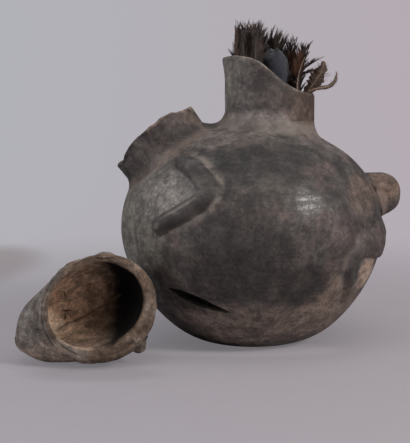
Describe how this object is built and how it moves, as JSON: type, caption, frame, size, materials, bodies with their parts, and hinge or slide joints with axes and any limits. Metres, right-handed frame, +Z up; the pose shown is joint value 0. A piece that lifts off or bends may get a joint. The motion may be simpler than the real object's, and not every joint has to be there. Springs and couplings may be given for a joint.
{
  "type": "zoomorphic ceramic vase",
  "caption": "Round clay vessel shaped as a crouching animal, with a broken tall neck stopped by feathers and cloth, limbs in relief, and the hollow broken-off head lying beside it.",
  "frame": {"origin": "centre of the flat foot, on the table, on the globe's axis", "axes": "+Z up along the globe's axis; -X to the front of the animal, +X to its tail; -Y is the animal's left side, the side the picture was taken from"},
  "size_m": [0.3299, 0.2399, 0.2824],
  "materials": {
    "grey_clay": "low-fired clay, burnished to a satin and smoke-blackened in patches",
    "brown_clay": "low-fired clay, smoothed by hand, with a chipped edge",
    "pale_clay": "low-fired clay, unburnished and worn to its raw tan at the break",
    "blue_cloth": "matt dusty woven cotton, crumpled",
    "dark_feather": "dark frayed feather vane with a low sheen",
    "brown_feather": "brown frayed feather vane with a pale shaft"
  },
  "bodies": {
    "pot": {"pot_globe": "grey_clay", "neck": "grey_clay", "neck_coil": "grey_clay", "head_socket": "brown_clay", "foreleg_left": "grey_clay", "foreleg_right": "grey_clay", "hindleg_left": "grey_clay", "hindleg_right": "grey_clay", "tail": "brown_clay"},
    "stopper": {"cloth_wad": "blue_cloth", "feather_outer_1": "dark_feather", "feather_outer_2": "brown_feather", "feather_outer_3": "dark_feather", "feather_outer_4": "dark_feather", "feather_outer_5": "brown_feather", "feather_outer_6": "dark_feather", "feather_outer_7": "dark_feather", "feather_outer_8": "brown_feather", "feather_outer_9": "dark_feather", "feather_outer_10": "dark_feather", "feather_outer_11": "brown_feather", "feather_outer_12": "dark_feather", "feather_outer_13": "dark_feather", "feather_middle_1": "dark_feather", "feather_middle_2": "dark_feather", "feather_middle_3": "brown_feather", "feather_middle_4": "dark_feather", "feather_middle_5": "dark_feather", "feather_middle_6": "brown_feather", "feather_middle_7": "dark_feather", "feather_middle_8": "dark_feather", "feather_middle_9": "brown_feather", "feather_inner_1": "dark_feather", "feather_inner_2": "dark_feather", "feather_inner_3": "brown_feather", "feather_inner_4": "dark_feather", "feather_inner_5": "dark_feather", "feather_inner_6": "brown_feather", "feather_core_1": "dark_feather", "feather_core_2": "dark_feather", "feather_core_3": "brown_feather", "feather_core_4": "dark_feather", "stray_quill_1": "brown_feather", "stray_quill_2": "brown_feather"},
    "head": {"head_shell": "pale_clay", "head_band": "grey_clay", "ear_right": "pale_clay", "ear_left": "pale_clay"}
  },
  "joints": [
    {"name": "stopper_lift", "type": "slide", "parent": "pot", "child": "stopper", "axis": [0, 0, 1], "range_m": [0, 0.09]},
    {"name": "head_lift", "type": "slide", "parent": "pot", "child": "head", "axis": [-0.6, -0.45, 0.6614], "range_m": [0, 0.18]}
  ]
}
